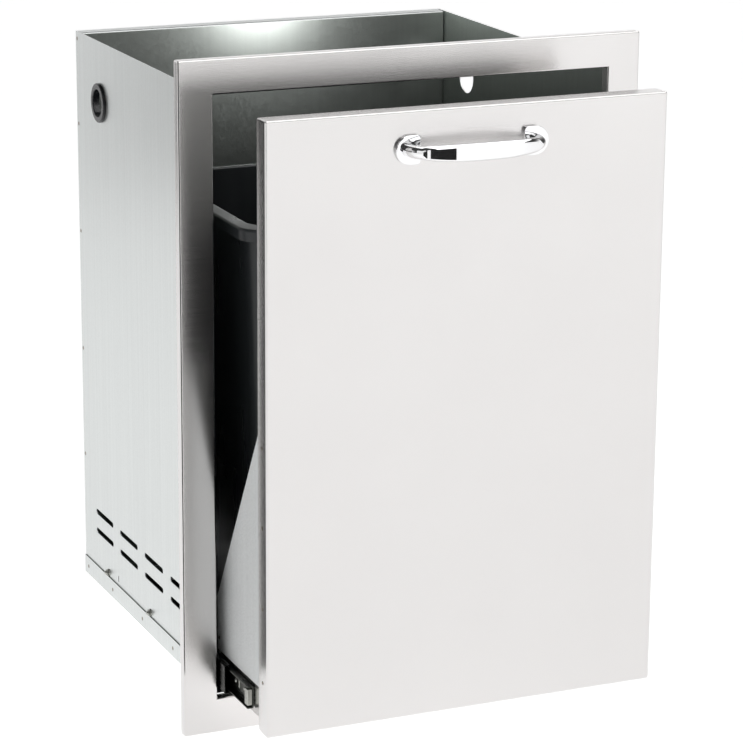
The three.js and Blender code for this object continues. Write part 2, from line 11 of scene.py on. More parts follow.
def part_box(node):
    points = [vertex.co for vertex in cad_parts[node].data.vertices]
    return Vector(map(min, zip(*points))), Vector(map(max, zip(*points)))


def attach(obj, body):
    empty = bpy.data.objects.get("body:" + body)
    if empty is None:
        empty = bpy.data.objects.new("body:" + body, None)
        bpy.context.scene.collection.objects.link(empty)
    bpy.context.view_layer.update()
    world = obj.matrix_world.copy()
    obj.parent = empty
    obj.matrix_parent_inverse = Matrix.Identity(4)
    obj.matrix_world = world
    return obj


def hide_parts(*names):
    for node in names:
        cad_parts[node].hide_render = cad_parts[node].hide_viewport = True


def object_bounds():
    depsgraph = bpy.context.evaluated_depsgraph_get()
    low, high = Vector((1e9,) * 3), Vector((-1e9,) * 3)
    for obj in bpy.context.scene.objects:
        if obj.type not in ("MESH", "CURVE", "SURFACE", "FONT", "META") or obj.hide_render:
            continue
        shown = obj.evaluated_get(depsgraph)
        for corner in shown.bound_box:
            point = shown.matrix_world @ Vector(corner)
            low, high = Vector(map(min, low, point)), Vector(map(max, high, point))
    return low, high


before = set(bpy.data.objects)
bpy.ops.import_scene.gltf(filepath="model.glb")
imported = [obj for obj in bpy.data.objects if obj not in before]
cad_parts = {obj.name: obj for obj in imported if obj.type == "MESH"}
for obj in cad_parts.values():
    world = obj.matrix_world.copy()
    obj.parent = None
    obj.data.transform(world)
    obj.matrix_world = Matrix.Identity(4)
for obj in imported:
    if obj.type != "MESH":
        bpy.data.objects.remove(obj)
cad_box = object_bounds()

bl_info = {
    "name": "Pull-out waste drawer",
    "version": (1, 0, 0),
    "blender": (4, 5, 0),
    "location": "3D Viewport > Sidebar > Waste drawer",
    "description": "Builds the sheet metal, slides, handle and bin of a built-in waste drawer",
    "category": "Object",
}

MM = 0.001
SIDES = (("left", -1), ("right", 1))
AXES = {
    "-X": Vector((-1, 0, 0)),
    "+X": Vector((1, 0, 0)),
    "-Y": Vector((0, -1, 0)),
    "+Y": Vector((0, 1, 0)),
    "-Z": Vector((0, 0, -1)),
    "+Z": Vector((0, 0, 1)),
}


def linear(hex_colour):
    """An sRGB hex colour as linear red, green and blue."""
    shares = [int(hex_colour[i : i + 2], 16) / 255 for i in (1, 3, 5)]
    return tuple(c / 12.92 if c <= 0.04045 else ((c + 0.055) / 1.055) ** 2.4 for c in shares)


def length(name, description, default, **limits):
    """A length property, in metres."""
    return FloatProperty(
        name=name, description=description, default=default, unit="LENGTH", precision=4, min=0, **limits
    )


def share(name, description, default):
    """A property between 0 and 1."""
    return FloatProperty(
        name=name, description=description, default=default, min=0, max=1, subtype="FACTOR"
    )


def strength(name, description, default, **unit):
    """The strength of a light."""
    return FloatProperty(name=name, description=description, default=default, min=0, **unit)


def colour(name, description, hex_colour):
    """A colour property, held as linear values."""
    return FloatVectorProperty(
        name=name,
        description=description,
        default=linear(hex_colour),
        subtype="COLOR",
        size=3,
        min=0,
        max=1,
    )


# ------------------------------------------------------------------ sizes and colours


class SheetSizes(bpy.types.PropertyGroup):
    stainless: length("Stainless sheet", "Thickness of the frame, front and tray", 1.2 * MM)
    galvanised: length("Galvanised sheet", "Thickness of the cabinet's sheets", 1.0 * MM)
    bend: length("Bend radius", "Outside radius of a folded edge", 1.9 * MM)
    edge: length("Edge break", "Width taken off a cut edge", 0.15 * MM)
    stile: length("Stile", "Breadth of the face frame's sides", 36.5 * MM)
    top_rail: length("Top rail", "Breadth of the face frame's top", 35.5 * MM)
    bottom_rail: length("Bottom rail", "Breadth of the face frame's bottom", 38 * MM)
    seat_lip: length("Seat lip", "Breadth of the lip that bears on the island", 12 * MM)
    skin_return: length("Skin return", "Depth of the drawer skin's folded edge", 14.6 * MM)
    tray_end: length("Tray end", "Height of the tray's front and rear edges", 30 * MM)


class SlideSizes(bpy.types.PropertyGroup):
    ball_pitch: length("Ball pitch", "Distance between two balls of a cage", 10 * MM)
    outer_ball: length("Outer ball", "Radius of the balls in the outer race", 1.5 * MM)
    inner_ball: length("Inner ball", "Radius of the balls in the inner race", 1.2 * MM)
    set_back: length("Set back", "How far the inner member's end stands behind the tray's", 11 * MM)
    stop_length: length("End stop", "Length of the stop at the inner member's end", 8.5 * MM)


class HandleSizes(bpy.types.PropertyGroup):
    end: length("End diameter", "Diameter of the bar where it meets its rosettes", 13 * MM)
    height: length("Middle height", "Height of the bar at the middle of its bow", 18 * MM)
    depth: length("Middle depth", "Depth of the bar at the middle of its bow", 12 * MM)
    flat: share("Facet", "How far the front facet cuts into the bar, at its middle", 0.3)
    facet_start: share("Facet start", "Where the facet starts, along half the bar", 0.88)
    squareness: FloatProperty(
        name="Squareness",
        description="2 bows the bar as an ellipse, and more turns its ends tighter",
        default=2.35,
        min=2,
        max=4,
    )
    steps: IntProperty(name="Steps", description="Rings along the bar", default=72, min=12, max=200)


class BinSizes(bpy.types.PropertyGroup):
    wall: length("Wall", "Thickness of the moulding", 2.5 * MM)
    rim: length("Rim", "Breadth of the flat rim", 14 * MM)
    skirt: length("Skirt", "Height of the rim's turned-down edge", 14 * MM)
    taper: length("Taper", "How much narrower each side is at the foot", 20 * MM)
    corner: length("Corner radius", "Radius of the rim's corners", 34 * MM)
    foot_radius: length("Foot radius", "Radius round the foot", 12 * MM)


class Finishes(bpy.types.PropertyGroup):
    stainless: colour("Stainless", "Brushed stainless sheet", "#DBD9D8")
    galvanised: colour("Galvanised", "Zinc-coated sheet", "#D6D9D8")
    galvanneal: colour("Annealed sheet", "Matt zinc coating of the gussets", "#E8EAEA")
    # painted shade: a darker zinc colour for the sheets' faces inside the cabinet
    painted_inner_shade: colour("Inner face shade", "Zinc-coated sheet inside the cabinet", "#A2A7A3")
    zinc: colour("Zinc plate", "Slides and fasteners", "#B4B5AF")
    # painted shade: the slide members are zinc-plated steel, darkened to stand for the shade they lie in
    slide: colour("Slide steel", "Zinc-plated slide members, darkened as painted shade", "#565854")
    # painted shade: darker still for the middle members, deep inside the slides
    middle_member_shade: colour("Grease", "Members inside the slides, darkened as painted deep shade", "#242523")
    chrome: colour("Chrome", "Handle and rosettes", "#F3F3F4")
    plastic: colour("Bin plastic", "Black polypropylene", "#26292B")
    rubber: colour("Bush", "Moulded black bush", "#15171A")
    weld: colour("Weld tint", "Heat tint round a spot weld", "#A39A8F")
    brushing: share("Brushing", "Roughness of the brushed sheet", 0.24)


class StageSettings(bpy.types.PropertyGroup):
    floor: colour("Floor", "Pale studio floor", "#FAFAFA")
    glow: strength("Floor glow", "Light that the floor and the overhead card give off", 0.79)
    horizon: strength("Horizon", "Brightness of the backdrop behind the drawer", 1.0)
    zenith: strength("Zenith", "Brightness of the studio overhead and in front", 0.05)
    key: strength("Key", "Power of the main softbox", 24, unit="POWER")
    fill: strength("Fill", "Power of the softbox at the left", 9, unit="POWER")
    front: strength("Front", "Power of the low softbox in front", 16, unit="POWER")
    panel: strength("Panel", "Power of the small lamp at the back panel", 0.26, unit="POWER")


class DrawerSettings(bpy.types.PropertyGroup):
    sheet: PointerProperty(type=SheetSizes)
    slides: PointerProperty(type=SlideSizes)
    handle: PointerProperty(type=HandleSizes)
    bin: PointerProperty(type=BinSizes)
    finishes: PointerProperty(type=Finishes)
    stage: PointerProperty(type=StageSettings)


# ------------------------------------------------------------------ materials


def add_node(tree, kind, inputs=None, **settings):
    """A node with its settings, each input set to a value or linked to a socket."""
    node = tree.nodes.new(kind)
    for name, value in settings.items():
        setattr(node, name, value)
    for key, value in (inputs or {}).items():
        if isinstance(value, bpy.types.NodeSocket):
            tree.links.new(value, node.inputs[key])
        else:
            node.inputs[key].default_value = value
    return node


def start_material(name, base, metallic, roughness):
    """A material with its shader, and object coordinates to drive its patterns."""
    material = bpy.data.materials.new(name)
    material.use_nodes = True
    tree = material.node_tree
    shader = next(n for n in tree.nodes if n.type == "BSDF_PRINCIPLED")
    shader.inputs["Base Color"].default_value = (*base, 1)
    shader.inputs["Metallic"].default_value = metallic
    shader.inputs["Roughness"].default_value = roughness
    place = add_node(tree, "ShaderNodeTexCoord").outputs["Object"]
    return material, tree, shader, place


def patches(tree, place, spacing, detail=2.0):
    """Light and dark patches, spaced so many metres apart along X, Y and Z."""
    scaled = add_node(tree, "ShaderNodeMapping", {"Vector": place, "Scale": [1 / s for s in spacing]})
    settings = {"Vector": scaled.outputs[0], "Scale": 1.0, "Detail": detail}
    return add_node(tree, "ShaderNodeTexNoise", settings).outputs["Fac"]


def vary(tree, shader, pattern, roughness=None, lightness=None):
    """Lets a pattern vary the roughness and the lightness of the colour, on top of an earlier pattern."""

    def between(low, high):
        """The pattern, which stays between about 0.3 and 0.7, spread between two values."""
        limits = {"Value": pattern, "From Min": 0.3, "From Max": 0.7, "To Min": low, "To Max": high}
        return add_node(tree, "ShaderNodeMapRange", limits).outputs[0]

    if roughness:
        socket = shader.inputs["Roughness"]
        change = between(*roughness)
        if socket.is_linked:
            earlier = socket.links[0].from_socket
            change = add_node(tree, "ShaderNodeMath", {0: earlier, 1: change}, operation="ADD").outputs[0]
        tree.links.new(change, socket)
    if lightness:
        socket = shader.inputs["Base Color"]
        base = socket.links[0].from_socket if socket.is_linked else tuple(socket.default_value)[:3]
        scaled = {0: base, "Scale": between(*lightness)}
        lit = add_node(tree, "ShaderNodeVectorMath", scaled, operation="SCALE")
        tree.links.new(lit.outputs[0], socket)


def tones():
    """The colours and finishes that the user has set."""
    return bpy.context.scene.waste_drawer.finishes


def brushed_stainless(name, grain):
    """Type 304 sheet with a No. 4 finish, belt-ground in one direction: soft streaked mirror."""
    tone = tones()
    material, tree, shader, place = start_material(name, tone.stainless, 1.0, tone.brushing)
    # the belt's lines are 0.05 mm apart; they are drawn 0.9 mm apart, the finest that shows
    lines = [60 * MM if axis == grain else 0.9 * MM for axis in "XYZ"]
    streak = patches(tree, place, lines, 3.0)
    cloud = patches(tree, place, [90 * MM] * 3, 1.0)
    swing = 0.015
    vary(tree, shader, streak, (tone.brushing - swing, tone.brushing + swing), (0.98, 1.01))
    vary(tree, shader, cloud, (-swing, swing))
    # the ground lines smear reflections across themselves, most of all upright
    facing = add_node(tree, "ShaderNodeNewGeometry").outputs["Normal"]
    smear = add_node(tree, "ShaderNodeVectorMath", {0: facing, 1: (1, 1, 0)}, operation="CROSS_PRODUCT")
    tree.links.new(smear.outputs[0], shader.inputs["Tangent"])
    shader.inputs["Anisotropic"].default_value = 0.65
    return material


def galvanised_sheet(name, base, dullness, sparkle, fleck=0.03, metallic=1.0):
    """Hot-dip zinc on steel, its crystals kept small: a dull grey mirror with faint streaks."""
    material, tree, shader, place = start_material(name, base, metallic, dullness)
    # the crystals are under 1 mm; they are drawn 1.5 mm across, the finest that shows
    cells = {"Vector": place, "Scale": 1 / (1.5 * MM)}
    crystal = add_node(tree, "ShaderNodeTexVoronoi", cells, feature="SMOOTH_F1")
    tint = add_node(tree, "ShaderNodeSeparateColor", {"Color": crystal.outputs["Color"]}).outputs[0]
    grain = patches(tree, place, [1.2 * MM] * 3)
    # the rollers leave streaks some millimetres wide, which run up the sheets
    rolled = patches(tree, place, [5 * MM, 5 * MM, 400 * MM], 3.0)
    swing = 0.03
    vary(tree, shader, tint, (dullness - swing, dullness + swing))
    vary(tree, shader, rolled, None, (0.955, 1.01))
    vary(tree, shader, grain, (-swing, swing), (1 - fleck, 1 + fleck))
    bump = add_node(tree, "ShaderNodeBump", {"Strength": sparkle, "Distance": 0.1 * MM, "Height": grain})
    tree.links.new(bump.outputs[0], shader.inputs["Normal"])
    return material


def rolled_steel(name, base, roughness, lightness):
    """Cold-rolled steel under clear zinc, with bright glints along its folds; the slides' copies are
    darkened as painted shade.
    """
    material, tree, shader, place = start_material(name, base, 1.0, 0.3)
    # rolling lines run along the slide, drawn 0.7 mm apart
    vary(tree, shader, patches(tree, place, [0.7 * MM, 30 * MM, 0.7 * MM]), roughness, lightness)
    return material


def bearing_steel():
    """Hardened steel balls under a greasy film: small bright mirrors."""
    material, tree, shader, place = start_material("Greased ball steel", tones().zinc, 1.0, 0.12)
    vary(tree, shader, patches(tree, place, [2 * MM] * 3, 1.0), (0.08, 0.22))
    return material


def chrome_plate():
    """Polished chrome over brass: a clear mirror with hardly any haze."""
    material, tree, shader, place = start_material("Polished chrome", tones().chrome, 1.0, 0.03)
    vary(tree, shader, patches(tree, place, [9 * MM] * 3, 3.0), (0.02, 0.05))
    return material


def moulded_polypropylene():
    """Black injection-moulded polypropylene: a soft sheen over a fine spark-eroded texture."""
    material, tree, shader, place = start_material("Moulded polypropylene", tones().plastic, 0.0, 0.3)
    shader.inputs["IOR"].default_value = 1.49
    flow = patches(tree, place, [40 * MM, 40 * MM, 160 * MM])
    vary(tree, shader, flow, (0.25, 0.36), (0.85, 1.15))
    # the eroded texture is 0.1 mm; it is drawn 0.6 mm, the finest that shows
    texture = patches(tree, place, [0.6 * MM] * 3)
    bump = add_node(tree, "ShaderNodeBump", {"Strength": 0.1, "Distance": 0.05 * MM, "Height": texture})
    tree.links.new(bump.outputs[0], shader.inputs["Normal"])
    return material


def moulded_bush():
    """Black nylon, moulded smooth: a narrow bright ring of sheen on its flange."""
    material, tree, shader, place = start_material("Moulded nylon", tones().rubber, 0.0, 0.26)
    shader.inputs["IOR"].default_value = 1.53
    vary(tree, shader, patches(tree, place, [0.8 * MM] * 3), (0.2, 0.34))
    return material


def spot_weld():
    """Resistance-welded sheet: a shallow dimple whose rim is tinted straw by the heat."""
    material, tree, shader, place = start_material("Spot-welded steel", tones().weld, 1.0, 0.45)
    vary(tree, shader, patches(tree, place, [1.5 * MM] * 3), (0.35, 0.6), (0.6, 1.05))
    return material


MAKERS = {
    "front": lambda: brushed_stainless("Brushed stainless, level grain", "X"),
    "pan": lambda: brushed_stainless("Brushed stainless, lengthwise grain", "Y"),
    "galvanised": lambda: galvanised_sheet("Galvanised sheet", tones().galvanised, 0.34, 0.1),
    # annealing turns the zinc matt and grainy
    "galvanneal": lambda: galvanised_sheet(
        "Annealed galvanised sheet", tones().galvanneal, 0.6, 0.5, fleck=0.14, metallic=0.3
    ),
    # painted shade: a darker copy of the galvanised sheet for the faces inside the cabinet
    "painted_shade_sheet": lambda: galvanised_sheet("Galvanised sheet, painted inside shade", tones().painted_inner_shade, 0.36, 0.2),
    "zinc": lambda: rolled_steel("Zinc-plated steel", tones().zinc, (0.24, 0.36), (0.92, 1.0)),
    # painted shade: darker copies of the zinc for the slide members
    "slide": lambda: rolled_steel("Slide steel, painted shade", tones().slide, (0.22, 0.34), (0.85, 1.05)),
    # painted deep shade for the middle members inside the slides
    "slide_deep_shade": lambda: rolled_steel("Slide steel, painted deep shade", tones().middle_member_shade, (0.22, 0.34), (0.85, 1.05)),
    "balls": bearing_steel,
    "chrome": chrome_plate,
    "plastic": moulded_polypropylene,
    "bush": moulded_bush,
    "weld": spot_weld,
}
made_materials = {}


def material_of(kind):
    """The material of a kind, made once."""
    if kind not in made_materials:
        made_materials[kind] = MAKERS[kind]()
    return made_materials[kind]


# ------------------------------------------------------------------ mesh helpers


def move(bm, verts, offset):
    """Moves vertices by an offset."""
    bmesh.ops.translate(bm, verts=list(verts), vec=Vector(offset))


def grow(bm, edges):
    """Extrudes edges. Returns the new vertices, and the new edges between them."""
    made = bmesh.ops.extrude_edge_only(bm, edges=edges)["geom"]
    verts = [part for part in made if isinstance(part, bmesh.types.BMVert)]
    edges = [part for part in made if isinstance(part, bmesh.types.BMEdge)]
    return verts, [e for e in edges if all(v in verts for v in e.verts)]


def block(bm, low, high):
    """A block between two corners. Returns its vertices."""
    low, high = Vector(low), Vector(high)
    verts = bmesh.ops.create_cube(bm, size=1)["verts"]
    bmesh.ops.scale(bm, verts=verts, vec=high - low)
    move(bm, verts, (low + high) / 2)
    return verts


def shell(low, high, open_sides):
    """The skin of a box without the sides named."""
    bm = bmesh.new()
    block(bm, low, high)
    bm.normal_update()
    gone = [f for f in bm.faces if any(f.normal.dot(AXES[side]) > 0.9 for side in open_sides)]
    bmesh.ops.delete(bm, geom=gone, context="FACES")
    return bm


def folds(bm, least=30):
    """The edges where two faces meet at an angle."""
    return [e for e in bm.edges if len(e.link_faces) == 2 and e.calc_face_angle() > math.radians(least)]


def round_edges(bm, edges, radius, segments=4):
    """Rounds edges to a radius."""
    bmesh.ops.bevel(
        bm,
        geom=list(edges),
        offset=radius,
        offset_type="OFFSET",
        segments=segments,
        profile=0.5,
        affect="EDGES",
        clamp_overlap=True,
        material=-1,
    )


def node_copy(node):
    """A CAD node's shape with its triangles merged into flat faces."""
    bm = bmesh.new()
    bm.from_mesh(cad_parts[node].data)
    bmesh.ops.remove_doubles(bm, verts=bm.verts, dist=1e-6)
    bmesh.ops.dissolve_limit(bm, angle_limit=math.radians(1), verts=bm.verts, edges=bm.edges)
    return bm


def apply_modifiers(piece):
    """Puts the modified shape in place of the piece's mesh."""
    bpy.context.view_layer.update()
    graph = bpy.context.evaluated_depsgraph_get()
    mesh = bpy.data.meshes.new_from_object(piece.evaluated_get(graph))
    piece.modifiers.clear()
    old, piece.data = piece.data, mesh
    bpy.data.meshes.remove(old)
    mesh.name = piece.name


def finish_mesh(piece, sharp=35):
    """Applies the modifiers, and shades smooth except across sharp edges, with flat faces kept flat."""
    apply_modifiers(piece)
    piece.data.shade_smooth()
    piece.data.set_sharp_from_angle(angle=math.radians(sharp))
    weighted = piece.modifiers.new("Flat faces", "WEIGHTED_NORMAL")
    weighted.weight = 100
    weighted.keep_sharp = True
    apply_modifiers(piece)


def add_piece(bm, name, kind, body, replaces=(), sheet=0.0, edge=0.0, sharp=35):
    """A finished piece: its mesh, sheet thickness and broken edges, its material and its body."""
    mesh = bpy.data.meshes.new(name)
    bm.to_mesh(mesh)
    bm.free()
    mesh.materials.append(material_of(kind))
    piece = bpy.data.objects.new(name, mesh)
    bpy.context.scene.collection.objects.link(piece)
    if sheet:
        solid = piece.modifiers.new("Sheet", "SOLIDIFY")
        solid.thickness = sheet
        solid.offset = -1
        solid.use_even_offset = True
    if edge:
        broken = piece.modifiers.new("Broken edges", "BEVEL")
        broken.width = edge
        broken.segments = 1
        broken.limit_method = "ANGLE"
        broken.angle_limit = math.radians(60)
    finish_mesh(piece, sharp)
    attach(piece, body)
    if replaces:
        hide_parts(*replaces)
    return piece


def paint_shade_inside(piece, middle):
    """Gives the faces that look towards a place a darker copy of the zinc sheet as painted shade inside
    the cabinet, cut edges left out.
    """
    piece.data.materials.append(material_of("painted_shade_sheet"))
    least_facing = 0.3
    least_area = 10 * MM * MM
    for face in piece.data.polygons:
        towards = (middle - face.center).normalized()
        if face.normal.dot(towards) > least_facing and face.area > least_area:
            face.material_index = 1


def face_towards(bm, axis):
    """Turns an open skin so that its largest face across the axis looks along it."""
    bmesh.ops.recalc_face_normals(bm, faces=bm.faces)
    across = [f for f in bm.faces if abs(f.normal.dot(axis)) > 0.9]
    widest = max(across, key=lambda f: f.calc_area())
    if widest.normal.dot(axis) < 0:
        bmesh.ops.reverse_faces(bm, faces=bm.faces)


def disc(bm, radius, centre, axis, height, sides=20, edge=0.0):
    """A round boss along an axis, its outer rim eased. Returns its vertices."""
    turn = Vector((0, 0, 1)).rotation_difference(Vector(axis)).to_matrix().to_4x4()
    place = Matrix.Translation(Vector(centre) + Vector(axis) * height / 2) @ turn
    return bmesh.ops.create_cone(
        bm,
        cap_ends=True,
        segments=sides,
        radius1=radius,
        radius2=radius - edge,
        depth=height,
        matrix=place,
    )["verts"]


# ------------------------------------------------------------------ pieces


def face_frame(sizes):
    """Front plate, returns folded back outside and round the opening, and the seat lip."""
    low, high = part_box("face_frame")
    opening_low = Vector((low.x + sizes.stile, low.y, low.z + sizes.bottom_rail))
    opening_high = Vector((high.x - sizes.stile, high.y, high.z - sizes.top_rail))

    def inside_opening(co):
        slack = 0.01 * MM
        across = opening_low.x - slack < co.x < opening_high.x + slack
        return across and opening_low.z - slack < co.z < opening_high.z + slack

    bm = shell(low, high, ["+Y"])
    for corner in (opening_low, opening_high):
        for axis in ("+X", "+Z"):
            geom = bm.verts[:] + bm.edges[:] + bm.faces[:]
            bmesh.ops.bisect_plane(bm, geom=geom, dist=1e-6, plane_co=corner, plane_no=AXES[axis])
    bm.normal_update()
    middle = (opening_low + opening_high) / 2
    hole = min(
        (f for f in bm.faces if f.normal.y < -0.9),
        key=lambda f: (f.calc_center_median() - Vector((middle.x, low.y, middle.z))).length,
    )
    round_opening = list(hole.edges)
    bmesh.ops.delete(bm, geom=[hole], context="FACES_ONLY")
    back, _ = grow(bm, round_opening)
    move(bm, back, (0, high.y - low.y, 0))
    rim = [e for e in bm.edges if e.is_boundary and not any(inside_opening(v.co) for v in e.verts)]
    lip, _ = grow(bm, rim)
    for v in lip:
        v.co.x = min(max(v.co.x, low.x + sizes.seat_lip), high.x - sizes.seat_lip)
        v.co.z = min(max(v.co.z, low.z + sizes.seat_lip), high.z - sizes.seat_lip)
    bmesh.ops.recalc_face_normals(bm, faces=bm.faces)
    face_towards(bm, AXES["-Y"])
    round_edges(bm, folds(bm), sizes.bend)
    return bm


def channel(node, lip, bend, short=0.0):
    """A slide member: web, flanges and lips folded from one strip."""
    low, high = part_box(node)
    low.y += short
    side = -1 if high.x < 0 else 1
    near, far = sorted((low.x, high.x), key=abs)
    web, tip = (near, far) if "inner" in node else (far, near)
    profile = [(tip, high.z), (web, high.z), (web, low.z), (tip, low.z)]
    if lip:
        profile = [(tip, high.z - lip), *profile, (tip, low.z + lip)]
    bm = bmesh.new()
    line = [bm.verts.new((x, low.y, z)) for x, z in profile]
    edges = [bm.edges.new(pair) for pair in zip(line, line[1:])]
    far_end, _ = grow(bm, edges)
    move(bm, far_end, (0, high.y - low.y, 0))
    outward = AXES["+X"] * (side if web == far else -side)
    face_towards(bm, outward)
    round_edges(bm, folds(bm), bend, 3)
    return bm


def handle_bar(sizes):
    """The bow: round at its ends, tall and flat-fronted in the middle, swept ring by ring."""
    left = sum(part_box("handle_rosette_left"), Vector()) / 2
    right = sum(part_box("handle_rosette_right"), Vector()) / 2
    low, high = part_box("handle_bar")
    middle = (left + right) / 2
    reach = (right - left) / 2
    bow = high.y - low.y - sizes.depth / 2
    # vertices in each ring, and how many of them lie across the facet
    count, flat_count = 40, 8
    # the facet is fully open once the bar has swelled by a twelfth, and where there's no facet
    # the same vertices still span a small angle
    opening, least_angle = 12, 0.16

    def along(turn):
        """The bar's centre at a turn from pi, at the left, to 0, at the right."""
        power = 2 / sizes.squareness
        c, w = math.cos(turn), math.sin(turn)
        across = math.copysign(abs(c) ** power, c)
        return Vector((middle.x, high.y - bow * w**power, middle.z)) + reach * across

    def section(t):
        """Places of a ring's vertices: the flat front first, then round the back."""
        turn = math.pi * (1 - t)
        step = 0.004
        point = along(turn)
        before, after = along(min(turn + step, math.pi)), along(max(turn - step, 0))
        way = (after - before).normalized()
        up = Vector((0, 0, 1))
        front = way.cross(up).normalized()
        from_middle = abs((point - middle).dot(reach)) / reach.length_squared
        swell = max(0.0, 1 - (from_middle / sizes.facet_start) ** 2)
        tall = (sizes.end + (sizes.height - sizes.end) * math.sqrt(swell)) / 2
        deep = (sizes.end + (sizes.depth - sizes.end) * swell) / 2
        cut = sizes.flat * min(1.0, opening * swell) * (0.5 + 0.5 * swell)
        open_angle = max(math.acos(1 - cut), least_angle)
        top = tall * math.sin(open_angle)
        level = deep * math.cos(open_angle)
        places = [point + front * level + up * top * (1 - 2 * i / flat_count) for i in range(flat_count)]
        sweep = 2 * (math.pi - open_angle)
        steps = count - flat_count
        for i in range(steps):
            angle = -open_angle - sweep * i / steps
            places.append(point + front * deep * math.cos(angle) + up * tall * math.sin(angle))
        return places

    bm = bmesh.new()
    ring = bmesh.ops.create_circle(bm, cap_ends=False, segments=count, radius=sizes.end / 2)["verts"]
    edges = list(bm.edges)
    rings = [list(ring)]
    for _ in range(sizes.steps):
        new, edges = grow(bm, edges)
        # each new vertex takes the place in its ring of the one that it grew from
        grown_from = {}
        for e in bm.edges:
            a, b = e.verts
            if a in rings[-1] and b in new:
                grown_from[a] = b
            elif b in rings[-1] and a in new:
                grown_from[b] = a
        rings.append([grown_from[v] for v in rings[-1]])
    for i, verts in enumerate(rings):
        for v, place in zip(verts, section(i / sizes.steps)):
            v.co = place
    for verts in (rings[0], rings[-1]):
        end = [e for e in bm.edges if e.is_boundary and all(v in verts for v in e.verts)]
        bmesh.ops.contextual_create(bm, geom=end)
    bmesh.ops.recalc_face_normals(bm, faces=bm.faces)
    return bm


def bin_body(sizes):
    """The moulding's upper side: floor, tapered walls, flat rim and the skirt's outside."""
    low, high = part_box("waste_bin")
    centre = (low + high) / 2
    half = (high - low) / 2

    def at_inset(inset, z):
        return Vector((half.x - inset, half.y - inset, z))

    inner = sizes.corner - sizes.rim
    foot = at_inset(sizes.rim + sizes.taper, low.z + sizes.wall)
    bm = bmesh.new()
    verts = bmesh.ops.create_grid(bm, x_segments=1, y_segments=1, size=1)["verts"]
    bmesh.ops.scale(bm, verts=verts, vec=(foot.x, foot.y, 1))
    move(bm, verts, (centre.x, centre.y, foot.z))
    bmesh.ops.bevel(
        bm,
        geom=bm.verts[:],
        offset=inner,
        offset_type="OFFSET",
        segments=9,
        profile=0.5,
        affect="VERTICES",
        material=-1,
    )
    previous = foot
    edges = list(bm.edges)
    crown = 1.9 * MM
    levels = [
        at_inset(sizes.rim, high.z),
        at_inset(0, high.z - crown),
        at_inset(0, high.z - sizes.skirt),
    ]
    for level in levels:
        verts, edges = grow(bm, edges)
        move(bm, verts, (-centre.x, -centre.y, level.z - previous.z))
        bmesh.ops.scale(bm, verts=verts, vec=(level.x / previous.x, level.y / previous.y, 1))
        move(bm, verts, (centre.x, centre.y, 0))
        previous = level
    face_towards(bm, AXES["+Z"])
    rims = [e for e in folds(bm, 50) if all(v.co.z > high.z - 2.5 * MM for v in e.verts)]
    round_edges(bm, rims, 2.6 * MM, 4)
    feet = [e for e in folds(bm, 60) if all(abs(v.co.z - foot.z) < 1e-5 for v in e.verts)]
    round_edges(bm, feet, sizes.foot_radius, 6)
    return bm


class WASTE_OT_face_frame(bpy.types.Operator):
    """Builds the folded stainless face frame"""

    bl_idname = "waste_drawer.face_frame"
    bl_label = "Face frame"

    def execute(self, context):
        sizes = context.scene.waste_drawer.sheet
        add_piece(
            face_frame(sizes),
            "face_frame_sheet",
            "front",
            "cabinet",
            ["face_frame"],
            sizes.stainless,
            sizes.edge,
        )
        return {"FINISHED"}


class WASTE_OT_cabinet(bpy.types.Operator):
    """Builds the cabinet's walls, base pan and back panel"""

    bl_idname = "waste_drawer.cabinet"
    bl_label = "Cabinet"

    def execute(self, context):
        sizes = context.scene.waste_drawer.sheet
        walls = [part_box(side + "_wall") for side, _ in SIDES]
        middle = sum((corner for wall in walls for corner in wall), Vector()) / 4
        pan = shell(*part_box("base_pan"), ["+Z", "-Y", "+Y"])
        panel = shell(*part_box("back_panel"), ["+Y"])
        for sheet in (pan, panel):
            round_edges(sheet, folds(sheet), sizes.bend)
        # the walls keep their CAD shape, so they have their thickness and every edge stays sharp
        for node, bm, thickness, sharp in (
            ("left_wall", node_copy("left_wall"), 0, 5),
            ("right_wall", node_copy("right_wall"), 0, 5),
            ("base_pan", pan, sizes.galvanised, 35),
            ("back_panel", panel, sizes.galvanised, 35),
        ):
            sheet = add_piece(
                bm,
                node + "_sheet",
                "galvanised",
                "cabinet",
                [node],
                thickness,
                sizes.edge,
                sharp,
            )
            # painted shade: the faces inside the cabinet take the darker copy of the sheet
            paint_shade_inside(sheet, middle)
        return {"FINISHED"}


class WASTE_OT_hose_bush(bpy.types.Operator):
    """Builds the snap bush in the left wall"""

    bl_idname = "waste_drawer.hose_bush"
    bl_label = "Hose bush"

    def execute(self, context):
        low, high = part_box("hose_bush")
        centre = (low + high) / 2
        wall_low, wall_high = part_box("left_wall")
        flange = (high.z - low.z) / 2
        body = flange - 3.5 * MM
        bore = body - 3 * MM
        seat = 0.3 * MM
        profile = [
            (low.x, bore),
            (low.x, flange),
            (wall_low.x - seat, flange),
            (wall_low.x - seat, body),
            (wall_high.x + seat, body),
            (wall_high.x + seat, body + 2 * MM),
            (high.x, body),
            (high.x, bore),
        ]
        bm = bmesh.new()
        line = [bm.verts.new((x, centre.y, centre.z + r)) for x, r in profile]
        edges = [bm.edges.new(pair) for pair in zip(line, line[1:] + line[:1])]
        bmesh.ops.spin(
            bm,
            geom=line + edges,
            cent=centre,
            axis=(1, 0, 0),
            angle=math.tau,
            steps=64,
            use_merge=True,
        )
        bmesh.ops.remove_doubles(bm, verts=bm.verts, dist=1e-6)
        bmesh.ops.recalc_face_normals(bm, faces=bm.faces)
        outer = [e for e in folds(bm, 40) if all(abs(v.co.x - low.x) < 1e-6 for v in e.verts)]
        round_edges(bm, outer, 1.1 * MM, 4)
        add_piece(bm, "hose_bush_moulding", "bush", "cabinet", ["hose_bush"])
        return {"FINISHED"}


